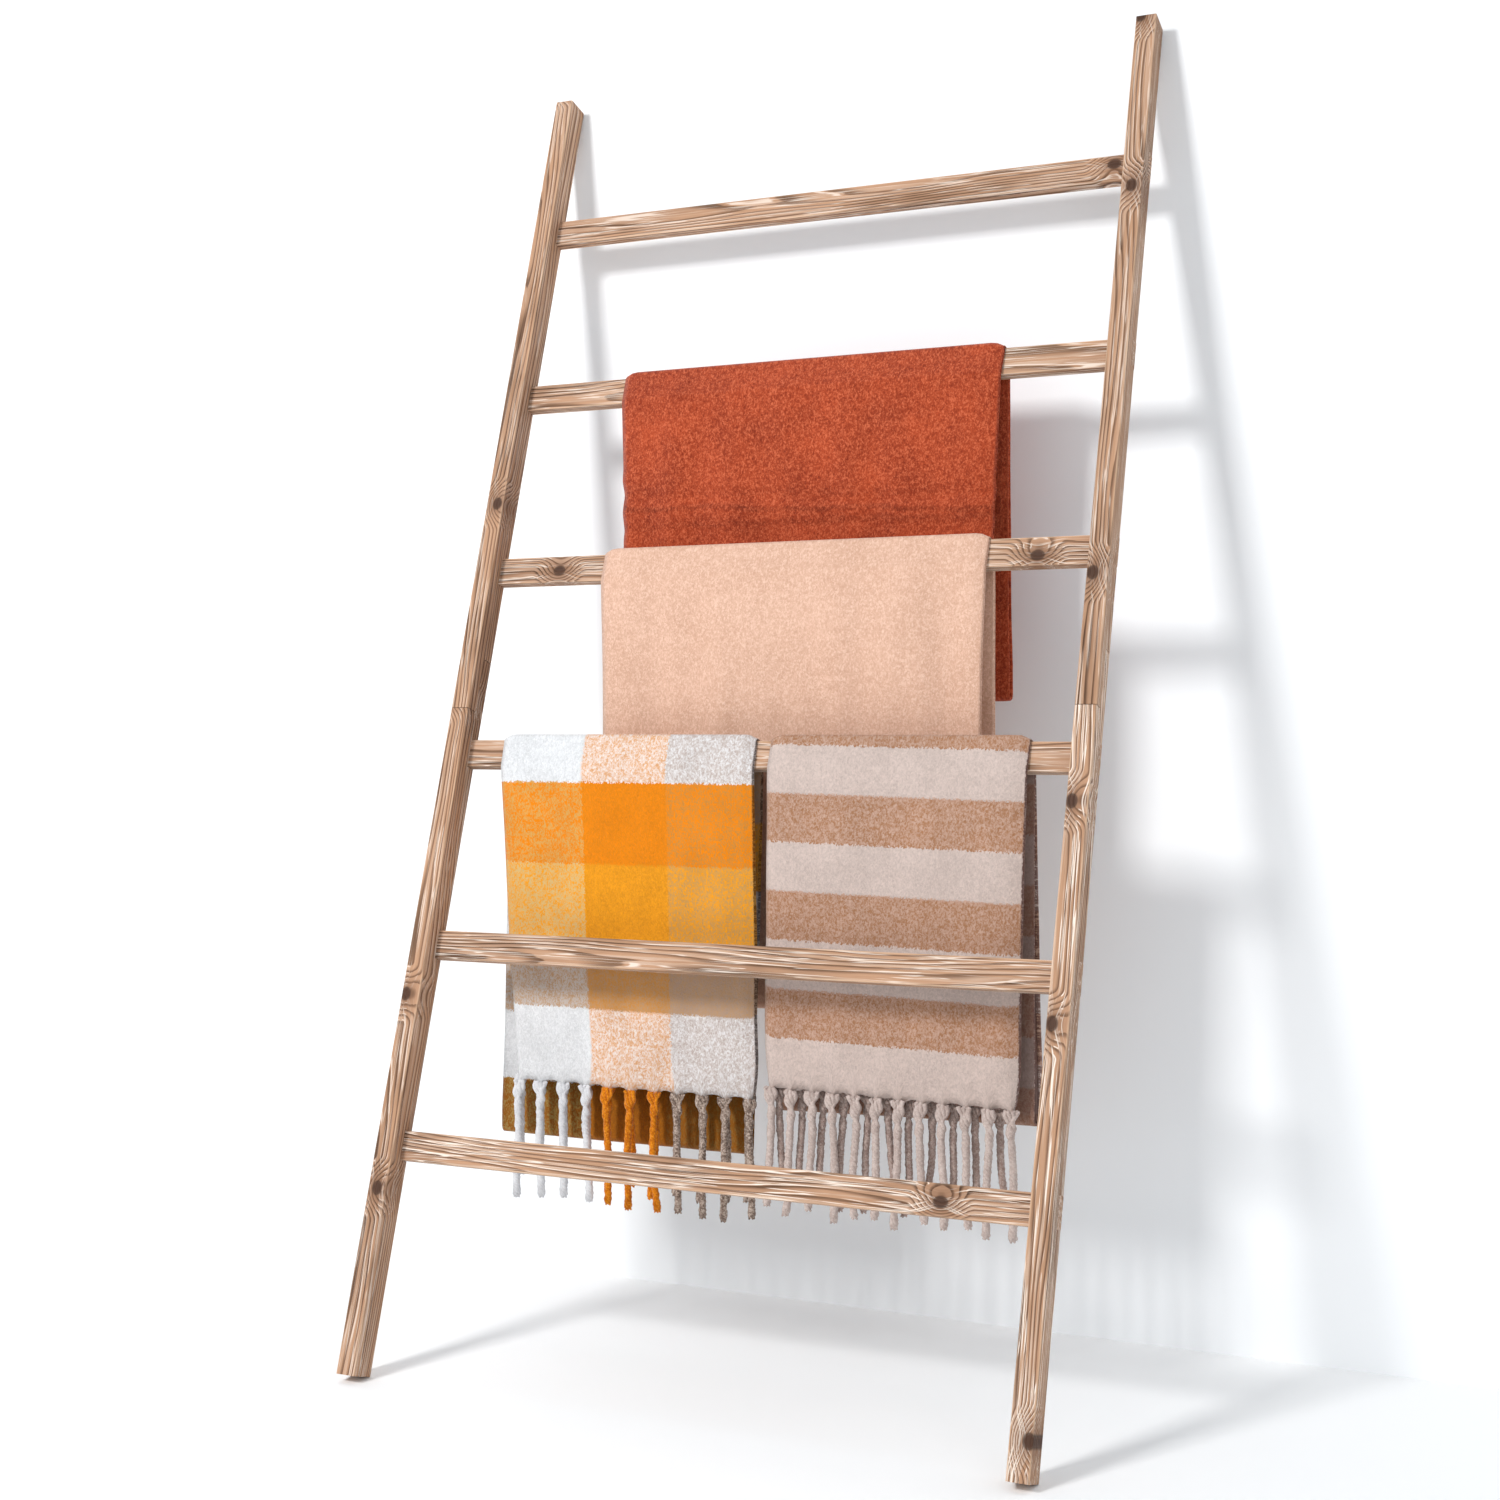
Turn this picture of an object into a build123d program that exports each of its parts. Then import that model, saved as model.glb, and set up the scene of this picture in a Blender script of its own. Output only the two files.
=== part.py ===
from math import cos, radians, sin
import os

from build123d import *

os.makedirs("parts", exist_ok=True)

# Driving dimensions, millimetres. X runs across the ladder, Y back towards the wall, Z up.
# The origin is on the floor, under the middle of the leaning ladder.
# "Along" is measured up a rail from its foot, "back" from its front face.

lean = 17.5                # angle between a rail and the vertical, degrees
rail_length = 1830.0
rail_width = 27.0          # across the ladder
rail_depth = 38.0          # front to back
inner_width = 850.0        # clear width between the rails
arris_round = 1.5          # worn corners of the wood

rung_count = 6             # rung_1 is the top one
rung_height = 38.0         # along the rail
rung_thick = 16.0          # front to back, let into the back of the rails
foot_margin = 290.0        # foot to the middle of the lowest rung
top_margin = 210.0         # middle of the top rung to the top of the rail
notch_play = 0.2           # play of a rung in its notch, above and below

lap_rung = 4               # the halves of a rail meet above this rung
lap_above_rung = 58.0      # middle of that rung to the lower seam of the lap
lap_length = 76.0
lap_seam = 0.8             # gap left at each end of a tongue

screw_dia = 4.0
screw_length = 22.0
screw_head_dia = 8.0
screw_head_thick = 2.4
bolt_dia = 6.0
bolt_head_dia = 12.0
bolt_head_thick = 3.0
bolt_spacing = 38.0        # two bolts in each lap
bolt_grip = 9.0            # bolt thread inside its insert
insert_dia = 9.0
insert_length = 12.0
head_sink = 0.6            # heads sit this far below the wood
shank_play = 0.1           # radial play of a shank in its hole
recess_depth = 1.2

throw_thick = 11.0         # folded layers of one hanging side
throw_clear = 0.6          # cloth to the wood under it
tassel_dia = 8.0
tassel_length = 162.0
tassel_inset = 6.0          # middle of the first tassel to the throw's side
plaid_tassels = 11
striped_tassels = 12

# Each throw: its rung, cloth edge to the left rail, to the right rail, front and back hang.
rust_rung = 2
rust_left_gap = 157.0
rust_right_gap = 143.0
rust_front_hang = 440.0
rust_back_hang = 450.0

peach_rung = 3
peach_left_gap = 168.0
peach_right_gap = 137.0
peach_front_hang = 597.0
peach_back_hang = 605.0

lower_rung = 4             # the plaid and the striped throw share it
lower_gap = 24.0           # between the two
lower_gap_middle = 16.0    # X of the middle of that gap
plaid_left_gap = 56.0
plaid_front_hang = 455.0
plaid_back_hang = 530.0
striped_right_gap = 58.0
striped_front_hang = 440.0
striped_back_hang = 465.0

# Worked out from the values above.

sin_lean = sin(radians(lean))
cos_lean = cos(radians(lean))
rung_pitch = (rail_length - foot_margin - top_margin) / (rung_count - 1)
half_inner = inner_width / 2
rail_middle_x = half_inner + rail_width / 2
rung_back = rail_depth - rung_thick
lap_middle_back = rail_depth / 2
ladder_depth = rail_length * sin_lean + rail_depth * cos_lean


def leaned_y(along, back):
    """World Y of a point of the leaning ladder."""
    return along * sin_lean + back * cos_lean - ladder_depth / 2


def leaned_z(along, back):
    """World Z of a point of the leaning ladder, whose feet stand on their rear edges."""
    return along * cos_lean + (rail_depth - back) * sin_lean


def cross_plane(x, along, back=0.0):
    """Plane square to the rails: its X is across, its Y is back, its normal runs up the rail."""
    origin = (x, leaned_y(along, back), leaned_z(along, back))
    return Plane(origin=origin, x_dir=(1, 0, 0), z_dir=(0, sin_lean, cos_lean))


def back_plane(x, along, back):
    """Plane that faces the wall side of the ladder: its normal runs back."""
    origin = (x, leaned_y(along, back), leaned_z(along, back))
    return Plane(origin=origin, x_dir=(1, 0, 0), z_dir=(0, cos_lean, -sin_lean))


def rung_along(number):
    """Distance from the foot to the middle of a rung."""
    return foot_margin + (rung_count - number) * rung_pitch


def save(builder, label):
    """Label a finished piece and write its file."""
    builder.part.label = label
    export_step(builder.part, f"parts/{label}.step")


lap_bottom = rung_along(lap_rung) + lap_above_rung
lap_top = lap_bottom + lap_length
lap_bolts = [lap_bottom + (lap_length + side * bolt_spacing) / 2 for side in (-1, 1)]


def cut_block(x, start, end, front, rear):
    """Remove a block that runs right across a rail, between two lengths and two depths."""
    with BuildSketch(cross_plane(x, start, (front + rear) / 2)) as section:
        Rectangle(rail_width + 2, rear - front)
    extrude(section.sketch, amount=end - start, mode=Mode.SUBTRACT)


def drill(x, along, back, diameter, depth):
    """Drill from a point towards the front of the ladder."""
    with BuildSketch(back_plane(x, along, back)) as section:
        Circle(diameter / 2)
    extrude(section.sketch, amount=-depth, mode=Mode.SUBTRACT)


def rail_bar(x, start, end):
    """A plain length of rail with rounded corners."""
    with BuildSketch(cross_plane(x, start, rail_depth / 2)) as section:
        RectangleRounded(rail_width, rail_depth, arris_round)
    extrude(section.sketch, amount=end - start)


def rung_notches(x, numbers):
    """Notches for the rungs, open to the back, each with the pilot hole of its screw."""
    for number in numbers:
        middle = rung_along(number)
        reach = rung_height / 2 + notch_play
        cut_block(x, middle - reach, middle + reach, rung_back, rail_depth + 1)
        under_head = rail_depth - head_sink - screw_head_thick
        pilot = screw_length - (under_head - rung_back)
        drill(x, middle, rung_back, screw_dia + 2 * shank_play, pilot + shank_play)


def build_rails(side, x):
    """The lower half of a rail has the rear tongue of the lap, the upper half the front one."""
    with BuildPart() as lower:
        rail_bar(x, 0, lap_top)
        cut_block(x, lap_bottom, lap_top + 1, -1, lap_middle_back)
        rung_notches(x, range(lap_rung, rung_count + 1))
        for along in lap_bolts:
            drill(x, along, rail_depth, bolt_head_dia + 2 * shank_play, bolt_head_thick + head_sink)
            drill(x, along, rail_depth, bolt_dia + 2 * shank_play, rail_depth)
    save(lower, f"{side}_rail_lower")
    with BuildPart() as upper:
        rail_bar(x, lap_bottom + lap_seam, rail_length)
        cut_block(x, lap_bottom, lap_top + lap_seam, lap_middle_back, rail_depth + 1)
        rung_notches(x, range(1, lap_rung))
        for along in lap_bolts:
            drill(x, along, lap_middle_back, insert_dia, insert_length)
    save(upper, f"{side}_rail_upper")


def build_rung(number):
    """A rung runs to the outer faces of both rails and lies flush with their backs."""
    middle = rung_along(number)
    half_length = half_inner + rail_width
    with BuildPart() as rung:
        with BuildSketch(back_plane(0, middle, rung_back)):
            Rectangle(2 * half_length, rung_height)
        extrude(amount=rung_thick)
        fillet(rung.edges().filter_by(Axis.X), arris_round)
        for x in (-rail_middle_x, rail_middle_x):
            drill(x, middle, rail_depth, screw_head_dia + 2 * shank_play, screw_head_thick + head_sink)
            drill(x, middle, rail_depth, screw_dia + 2 * shank_play, rung_thick + 1)
    save(rung, f"rung_{number}")


def build_fastener(label, x, along, head_dia, head_thick, shank_dia, shank_length):
    """A headed screw or bolt driven in from the back, with a hexagonal recess."""
    under_head = rail_depth - head_sink - head_thick
    with BuildPart() as fastener:
        with BuildSketch(back_plane(x, along, under_head)):
            Circle(head_dia / 2)
        extrude(amount=head_thick)
        with BuildSketch(back_plane(x, along, under_head)):
            Circle(shank_dia / 2)
        extrude(amount=-shank_length)
        with BuildSketch(back_plane(x, along, under_head + head_thick)):
            RegularPolygon(head_dia / 4, 6)
        extrude(amount=-recess_depth, mode=Mode.SUBTRACT)
    save(fastener, label)


def build_insert(label, x, along):
    """A threaded insert, blind from the front, in the front tongue of a lap."""
    with BuildPart() as insert:
        with BuildSketch(back_plane(x, along, lap_middle_back)):
            Circle(insert_dia / 2)
            Circle(bolt_dia / 2 + shank_play, mode=Mode.SUBTRACT)
        extrude(amount=-insert_length)
    save(insert, label)


def build_fasteners(side, x):
    """The rung screws and the lap bolts of one rail."""
    for number in range(1, rung_count + 1):
        label = f"{side}_screw_{number}"
        build_fastener(label, x, rung_along(number), screw_head_dia, screw_head_thick,
                       screw_dia, screw_length)
    shank = rail_depth - head_sink - bolt_head_thick - lap_middle_back + bolt_grip
    for place, along in zip(("lower", "upper"), lap_bolts):
        build_fastener(f"{side}_bolt_{place}", x, along, bolt_head_dia, bolt_head_thick,
                       bolt_dia, shank)
        build_insert(f"{side}_insert_{place}", x, along)


def build_throw(label, number, left, right, front_hang, back_hang):
    """Folded cloth over a rung: it hangs straight down in front and behind."""
    middle = rung_along(number)
    over = rung_height / 2 + throw_clear
    top = leaned_z(middle + over, rung_back - throw_clear)
    front = (leaned_y(middle - rung_height / 2, rung_back - throw_clear),
             leaned_z(middle - rung_height / 2, rung_back - throw_clear))
    crest = (leaned_y(middle + over, rung_back - throw_clear), top)
    rear = (leaned_y(middle + over, rail_depth + throw_clear),
            leaned_z(middle + over, rail_depth + throw_clear))
    with BuildPart() as throw:
        with BuildSketch(Plane.YZ.offset(left)):
            with BuildLine():
                inside = Polyline((front[0], top - front_hang), front, crest, rear,
                                  (rear[0], top - back_hang))
                offset(inside, throw_thick, side=Side.RIGHT)
            make_face()
        extrude(amount=right - left)
    save(throw, label)
    return front[0] - throw_thick / 2, top - front_hang


def build_tassels(label, count, left, right, y, top):
    """A row of twisted tassels under the front edge of a throw, from corner to corner."""
    first = left + tassel_inset
    step = (right - left - 2 * tassel_inset) / (count - 1)
    for index in range(count):
        with BuildPart() as tassel:
            with BuildSketch(Plane((first + index * step, y, top))):
                Circle(tassel_dia / 2)
            extrude(amount=-tassel_length)
        save(tassel, f"{label}_tassel_{index + 1}")


for side, direction in (("left", -1), ("right", 1)):
    build_rails(side, direction * rail_middle_x)
    build_fasteners(side, direction * rail_middle_x)

for number in range(1, rung_count + 1):
    build_rung(number)

build_throw("rust_throw", rust_rung, rust_left_gap - half_inner, half_inner - rust_right_gap,
            rust_front_hang, rust_back_hang)
build_throw("peach_throw", peach_rung, peach_left_gap - half_inner, half_inner - peach_right_gap,
            peach_front_hang, peach_back_hang)

plaid_left = plaid_left_gap - half_inner
plaid_right = lower_gap_middle - lower_gap / 2
plaid_y, plaid_end = build_throw("plaid_throw", lower_rung, plaid_left, plaid_right,
                                 plaid_front_hang, plaid_back_hang)
build_tassels("plaid", plaid_tassels, plaid_left, plaid_right, plaid_y, plaid_end)

striped_left = lower_gap_middle + lower_gap / 2
striped_right = half_inner - striped_right_gap
striped_y, striped_end = build_throw("striped_throw", lower_rung, striped_left, striped_right,
                                     striped_front_hang, striped_back_hang)
build_tassels("striped", striped_tassels, striped_left, striped_right, striped_y, striped_end)
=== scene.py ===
# %% [markdown]
# # A leaning blanket ladder with four folded throws
#
# The ladder's timber, screws and bolts come from the CAD frame and keep their shape here.
# They only need a finish: old pine, scorched, brushed and limed.
# The throws are plain blocks in the frame, so real folded cloth takes their place.
# Sizes are in metres: X runs across the ladder, Y back towards the wall, Z up.

# %% Load the frame
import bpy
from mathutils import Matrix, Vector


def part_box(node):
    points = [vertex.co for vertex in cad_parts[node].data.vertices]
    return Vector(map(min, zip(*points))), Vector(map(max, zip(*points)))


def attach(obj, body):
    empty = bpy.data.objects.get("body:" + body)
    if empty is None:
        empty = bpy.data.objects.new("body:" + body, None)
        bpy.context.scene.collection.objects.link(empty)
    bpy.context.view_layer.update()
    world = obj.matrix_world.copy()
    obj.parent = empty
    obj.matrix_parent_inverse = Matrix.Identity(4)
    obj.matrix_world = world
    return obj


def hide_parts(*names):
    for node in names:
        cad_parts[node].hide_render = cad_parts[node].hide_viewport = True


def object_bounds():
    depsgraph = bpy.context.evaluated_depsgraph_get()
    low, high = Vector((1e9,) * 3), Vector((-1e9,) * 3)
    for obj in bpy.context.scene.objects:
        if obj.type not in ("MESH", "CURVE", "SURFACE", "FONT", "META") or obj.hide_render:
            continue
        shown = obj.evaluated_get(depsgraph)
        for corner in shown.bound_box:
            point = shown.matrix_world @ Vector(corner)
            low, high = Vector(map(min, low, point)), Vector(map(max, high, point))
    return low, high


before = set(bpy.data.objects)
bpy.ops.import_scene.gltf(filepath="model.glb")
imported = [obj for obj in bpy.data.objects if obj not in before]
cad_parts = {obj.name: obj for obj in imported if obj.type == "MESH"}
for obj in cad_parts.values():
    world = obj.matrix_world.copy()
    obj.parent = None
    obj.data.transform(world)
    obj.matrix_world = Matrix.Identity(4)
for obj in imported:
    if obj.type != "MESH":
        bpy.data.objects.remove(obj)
cad_box = [list(corner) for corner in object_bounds()]

# %% Tools used all through
import math

import bmesh
import bpy
from mathutils import Vector, noise

LEAN = math.radians(17.5)
scene = bpy.context.scene
print("ladder box:", cad_box)

# %% [markdown]
# ## Camera, floor, wall and light
#
# The ladder is seen from its right, at the height of its middle, with a normal lens.
# It leans on a wall, so the backdrop is a pale wall that touches the rail tops and a pale floor.
# The wall can only be seen from the front: from behind, its material lets the view through.

# %% Camera
EYE = (1.103, -2.404, 0.8205)
TURN_LEFT = 0.435
TILT_DOWN = 0.0098
LENS_MM = 49.2

camera_data = bpy.data.cameras.new("camera")
camera_data.lens = LENS_MM
camera_data.sensor_width = 36.0
camera = bpy.data.objects.new("camera", camera_data)
camera.location = EYE
camera.rotation_euler = (math.pi / 2 - TILT_DOWN, 0, TURN_LEFT)
scene.collection.objects.link(camera)
scene.camera = camera
print("camera at", EYE)

# %% Helpers that place shader nodes


def put(tree, kind, values=None, **settings):
    """Add a node; values gives its inputs by name or number, as numbers or as sockets."""
    node = tree.nodes.new(kind)
    for name, value in settings.items():
        setattr(node, name, value)
    for name, value in (values or {}).items():
        if isinstance(value, bpy.types.NodeSocket):
            tree.links.new(value, node.inputs[name])
        else:
            node.inputs[name].default_value = value
    return node


def sums(tree, operation, *values, clamp=False):
    """A Math node on numbers or sockets; returns its output."""
    node = put(tree, "ShaderNodeMath", dict(enumerate(values)), operation=operation, use_clamp=clamp)
    return node.outputs[0]


def blend_colour(tree, factor, first, second, how="MIX"):
    """Mix two colours by a factor; returns the colour."""
    node = put(tree, "ShaderNodeMix", data_type="RGBA", blend_type=how, clamp_factor=True)
    for place, value in ((0, factor), (6, first), (7, second)):
        if isinstance(value, bpy.types.NodeSocket):
            tree.links.new(value, node.inputs[place])
        else:
            node.inputs[place].default_value = value
    return node.outputs[2]


def remap(tree, value, low, high, new_low=0.0, new_high=1.0):
    """Map a range to another with soft ends."""
    settings = {"Value": value, 1: low, 2: high, 3: new_low, 4: new_high}
    return put(tree, "ShaderNodeMapRange", settings, interpolation_type="SMOOTHSTEP").outputs[0]


def length_of(tree, first, second):
    """The distance that two sides of a right angle give."""
    squares = sums(tree, "ADD", sums(tree, "POWER", first, 2.0), sums(tree, "POWER", second, 2.0))
    return sums(tree, "SQRT", squares)


def stretched(tree, x, y, z, sideways, lengthways, shift):
    """A place stretched along the board, so that a noise there runs with the grain."""
    values = {0: sums(tree, "MULTIPLY", x, sideways), 1: sums(tree, "MULTIPLY", y, sideways),
              2: sums(tree, "MULTIPLY_ADD", z, lengthways, shift)}
    return put(tree, "ShaderNodeCombineXYZ", values).outputs[0]


def soft_noise(tree, place, scale, detail, rough=0.5):
    """Noise at a place; returns its value."""
    values = {"Vector": place, "Scale": scale, "Detail": detail, "Roughness": rough}
    return put(tree, "ShaderNodeTexNoise", values).outputs[0]


def new_group(name, inputs, outputs):
    """A shader node group with float, vector or colour sockets."""
    group = bpy.data.node_groups.new(name, "ShaderNodeTree")
    kinds = {"float": "NodeSocketFloat", "vector": "NodeSocketVector", "colour": "NodeSocketColor"}
    for label, kind, value in inputs:
        socket = group.interface.new_socket(label, in_out="INPUT", socket_type=kinds[kind])
        if value is not None:
            socket.default_value = value
    for label, kind in outputs:
        group.interface.new_socket(label, in_out="OUTPUT", socket_type=kinds[kind])
    return group, group.nodes.new("NodeGroupInput").outputs, group.nodes.new("NodeGroupOutput").inputs


def new_material(name):
    """A material with one Principled BSDF; returns it, its tree and the shader."""
    material = bpy.data.materials.new(name)
    material.use_nodes = True
    tree = material.node_tree
    return material, tree, tree.nodes["Principled BSDF"]


print("shader helpers ready")

# %% Floor and wall
WALL_Y = cad_box[1][1] + 0.001
STAGE_HALF = 6.0


def stage_plane(name, corners, colour, see_through_back):
    """A big flat sheet of studio paper, not part of the object."""
    sheet = bmesh.new()
    sheet.faces.new([sheet.verts.new(corner) for corner in corners])
    mesh = bpy.data.meshes.new(name)
    sheet.to_mesh(mesh)
    sheet.free()
    piece = bpy.data.objects.new(name, mesh)
    scene.collection.objects.link(piece)
    material, tree, shader = new_material(name)
    shader.inputs["Base Color"].default_value = (*colour, 1)
    shader.inputs["Roughness"].default_value = 0.9
    shader.inputs["Specular IOR Level"].default_value = 0.1
    if see_through_back:
        clear = put(tree, "ShaderNodeBsdfTransparent")
        side = put(tree, "ShaderNodeNewGeometry")
        mix = put(tree, "ShaderNodeMixShader", {0: side.outputs["Backfacing"],
                                                1: shader.outputs[0], 2: clear.outputs[0]})
        tree.links.new(mix.outputs[0], tree.nodes["Material Output"].inputs[0])
    mesh.materials.append(material)
    return piece


FLOOR_COLOUR = (0.99, 0.99, 0.99)
WALL_COLOUR = (0.95, 0.96, 0.97)
S = STAGE_HALF
stage_plane("floor", [(-S, -S, 0), (S, -S, 0), (S, S, 0), (-S, S, 0)], FLOOR_COLOUR, False)
stage_plane("wall", [(-S, WALL_Y, 0), (S, WALL_Y, 0), (S, WALL_Y, S), (-S, WALL_Y, S)],
            WALL_COLOUR, True)
print("wall at", WALL_Y)

# %% Light
LADDER_MIDDLE = Vector((0, 0, 0.9))
SKY_COLOUR = (0.88, 0.945, 1.0, 1)
SKY_STRENGTH = 0.52


def soft_light(name, place, size, power):
    """A square studio light that points at the middle of the ladder."""
    data = bpy.data.lights.new(name, "AREA")
    data.size = size
    data.energy = power
    lamp = bpy.data.objects.new(name, data)
    lamp.location = place
    lamp.rotation_euler = (LADDER_MIDDLE - Vector(place)).to_track_quat("-Z", "Y").to_euler()
    scene.collection.objects.link(lamp)


soft_light("key", (-1.5, -3.5, 2.9), size=0.8, power=128)
soft_light("fill", (2.6, -3.2, 2.2), size=2.5, power=20)

world = bpy.data.worlds.new("studio")
world.use_nodes = True
sky = world.node_tree.nodes["Background"]
sky.inputs["Color"].default_value = SKY_COLOUR
sky.inputs["Strength"].default_value = SKY_STRENGTH
scene.world = world
scene.view_settings.view_transform = "Standard"
print("lights set")

# %% [markdown]
# ## Old pine, scorched, brushed and limed
#
# Brushing scorched pine wears away the soft early wood and leaves the hard late wood as ridges.
# Lime paste then stays in the hollows as cream lines.
# The grain is worked out in the solid: growth rings round a heart beside the board, bent by knots,
# so the end grain and every face agree. One node group holds it, and each board has its own seed.

# %% The pine group
PINE_INPUTS = [("Vector", "vector", (0, 0, 0)), ("Seed", "float", 0.0), ("Lime", "float", 0.5),
               ("Half Width", "float", 0.0135), ("Half Depth", "float", 0.019)]
PINE_OUTPUTS = [("Color", "colour"), ("Roughness", "float"), ("Height", "float")]
pine, pine_in, pine_out = new_group("brushed pine", PINE_INPUTS, PINE_OUTPUTS)

seed = pine_in["Seed"]
across, deep, along = put(pine, "ShaderNodeSeparateXYZ", {0: pine_in["Vector"]}).outputs
print("pine group inputs:", [label for label, kind, value in PINE_INPUTS])

# %% Knots
# one spot every 0.4 m or so, left out in some places; "far" is the distance from the nearest one
KNOTS_PER_METRE = 2.6
KNOT_SHARE_MISSING = 0.35
KNOT_OFF_CENTRE = 0.011
KNOT_SQUEEZE = 0.30
KNOT_REACH = 0.034
KNOT_CORE = (0.0045, 0.0085)

knot_place = sums(pine, "MULTIPLY_ADD", along, KNOTS_PER_METRE, seed)
knot_row = put(pine, "ShaderNodeTexVoronoi", {"W": knot_place, "Scale": 1.0}, voronoi_dimensions="1D")
knot_gap = sums(pine, "SUBTRACT", knot_place, knot_row.outputs["W"])
knot_luck = put(pine, "ShaderNodeSeparateColor", {0: knot_row.outputs["Color"]})
knot_there = sums(pine, "GREATER_THAN", knot_luck.outputs[0], KNOT_SHARE_MISSING)
knot_side = remap(pine, knot_luck.outputs[1], 0.0, 1.0, -KNOT_OFF_CENTRE, KNOT_OFF_CENTRE)
knot_x = sums(pine, "SUBTRACT", across, knot_side)
knot_z = sums(pine, "MULTIPLY", knot_gap, KNOT_SQUEEZE)
knot_far = length_of(pine, knot_x, knot_z)
knot_swirl = sums(pine, "MULTIPLY", remap(pine, knot_far, 0.0, KNOT_REACH, 1.0, 0.0), knot_there)
knot_core = sums(pine, "MULTIPLY", remap(pine, knot_far, *KNOT_CORE, 1.0, 0.0), knot_there)
print("knots placed")

# %% Growth rings
RING_SPACING = 0.0046
RING_WANDER = 0.010
KNOT_BULGE = 0.020
HEART_SIDEWAYS = 0.022
HEART_BEHIND = 0.036

wander = soft_noise(pine, stretched(pine, across, deep, along, 16.0, 1.7, seed), 1.0, 2.0, 0.45)
heart_x = sums(pine, "MULTIPLY", sums(pine, "SINE", sums(pine, "MULTIPLY", seed, 2.3)), HEART_SIDEWAYS)
radius = length_of(pine, sums(pine, "ADD", across, heart_x), sums(pine, "ADD", deep, HEART_BEHIND))
radius = sums(pine, "ADD", radius, remap(pine, wander, 0.25, 0.75, -RING_WANDER, RING_WANDER))
radius = sums(pine, "MULTIPLY_ADD", knot_swirl, KNOT_BULGE, radius)

# fibres and streaks run along the board and bend round the knots
knot_push = sums(pine, "MULTIPLY", sums(pine, "SIGN", knot_x), 0.010)
bent_across = sums(pine, "MULTIPLY_ADD", knot_swirl, knot_push, across)
fibre_values = {0: bent_across, 1: deep, 2: sums(pine, "MULTIPLY", along, 0.016)}
fibre_place = put(pine, "ShaderNodeCombineXYZ", fibre_values).outputs[0]
fibre = soft_noise(pine, fibre_place, 900.0, 3.0, 0.6)
streak = soft_noise(pine, fibre_place, 260.0, 2.0)
turns = sums(pine, "MULTIPLY_ADD", streak, 0.35, sums(pine, "DIVIDE", radius, RING_SPACING))
saw = sums(pine, "FRACT", turns)
late = sums(pine, "MULTIPLY", remap(pine, saw, 0.45, 0.86), remap(pine, saw, 0.93, 1.0, 1.0, 0.0))
print("rings every", RING_SPACING, "m")

# %% Scorched wood
EARLY_WOOD = (0.60, 0.335, 0.195, 1)
LATE_WOOD = (0.082, 0.038, 0.019, 1)
LATE_TONE, FIBRE_TONE, SCORCH_TONE = 0.52, 0.46, 0.28

patch = soft_noise(pine, stretched(pine, across, deep, along, 22.0, 5.0, seed), 1.0, 3.0, 0.6)
scorch = remap(pine, patch, 0.42, 0.72)
tone = sums(pine, "ADD", sums(pine, "MULTIPLY", late, LATE_TONE),
            sums(pine, "MULTIPLY", fibre, FIBRE_TONE), clamp=True)
tone = sums(pine, "ADD", tone, sums(pine, "MULTIPLY", scorch, SCORCH_TONE), clamp=True)
pine_colour = blend_colour(pine, tone, EARLY_WOOD, LATE_WOOD)
print("scorch on early and late wood")

# %% Lime in the hollows, the grooves and the hairlines
LIME_PASTE = (0.90, 0.77, 0.66, 1)

gouge = soft_noise(pine, stretched(pine, across, deep, along, 120.0, 9.0, seed), 1.0, 1.0)
hollow = sums(pine, "MULTIPLY", sums(pine, "SUBTRACT", 1.0, late), remap(pine, streak, 0.48, 0.66))
patchy = sums(pine, "MULTIPLY_ADD", remap(pine, patch, 0.62, 0.38), 0.26, 0.12)
lime = sums(pine, "MULTIPLY", hollow, patchy, clamp=True)
groove = sums(pine, "MULTIPLY", remap(pine, saw, 0.03, 0.07), remap(pine, saw, 0.14, 0.24, 1.0, 0.0))
groove = sums(pine, "MULTIPLY", groove, remap(pine, gouge, 0.48, 0.56))
lime = sums(pine, "MAXIMUM", lime, sums(pine, "MULTIPLY", groove, 1.2))
from_line = sums(pine, "ABSOLUTE", sums(pine, "SUBTRACT", streak, 0.52))
hairline = remap(pine, from_line, 0.006, 0.026, 1.0, 0.0)
hairline = sums(pine, "MULTIPLY", hairline, remap(pine, gouge, 0.36, 0.50))
lime = sums(pine, "MAXIMUM", lime, sums(pine, "MULTIPLY", hairline, 1.15))
lime = sums(pine, "MULTIPLY", lime, pine_in["Lime"], clamp=True)
pine_colour = blend_colour(pine, lime, pine_colour, LIME_PASTE)
print("lime in three places, nodes so far:", len(pine.nodes))

# %% Worn edges, with a painted highlight
WORN_HIGHLIT_EDGE = (0.70, 0.47, 0.31, 1)
WEAR_AND_HIGHLIGHT_BAND = (-0.0026, -0.0006)


def near_edge(place, half):
    """One where a place is within the worn and highlighted band of a board's side."""
    return remap(pine, sums(pine, "SUBTRACT", sums(pine, "ABSOLUTE", place), half), *WEAR_AND_HIGHLIGHT_BAND)


# wear and painted highlight along the edges, fainter where the wood is more scorched
edge_wear_and_highlight = sums(pine, "MULTIPLY", near_edge(across, pine_in["Half Width"]),
             near_edge(deep, pine_in["Half Depth"]))
edge_wear_and_highlight = sums(pine, "MULTIPLY", edge_wear_and_highlight, remap(pine, patch, 0.30, 0.60, 0.9, 0.2))
pine_colour = blend_colour(pine, edge_wear_and_highlight, pine_colour, WORN_HIGHLIT_EDGE)
print("edges worn over", round((WEAR_AND_HIGHLIGHT_BAND[1] - WEAR_AND_HIGHLIGHT_BAND[0]) * 1000, 1), "mm")

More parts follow.
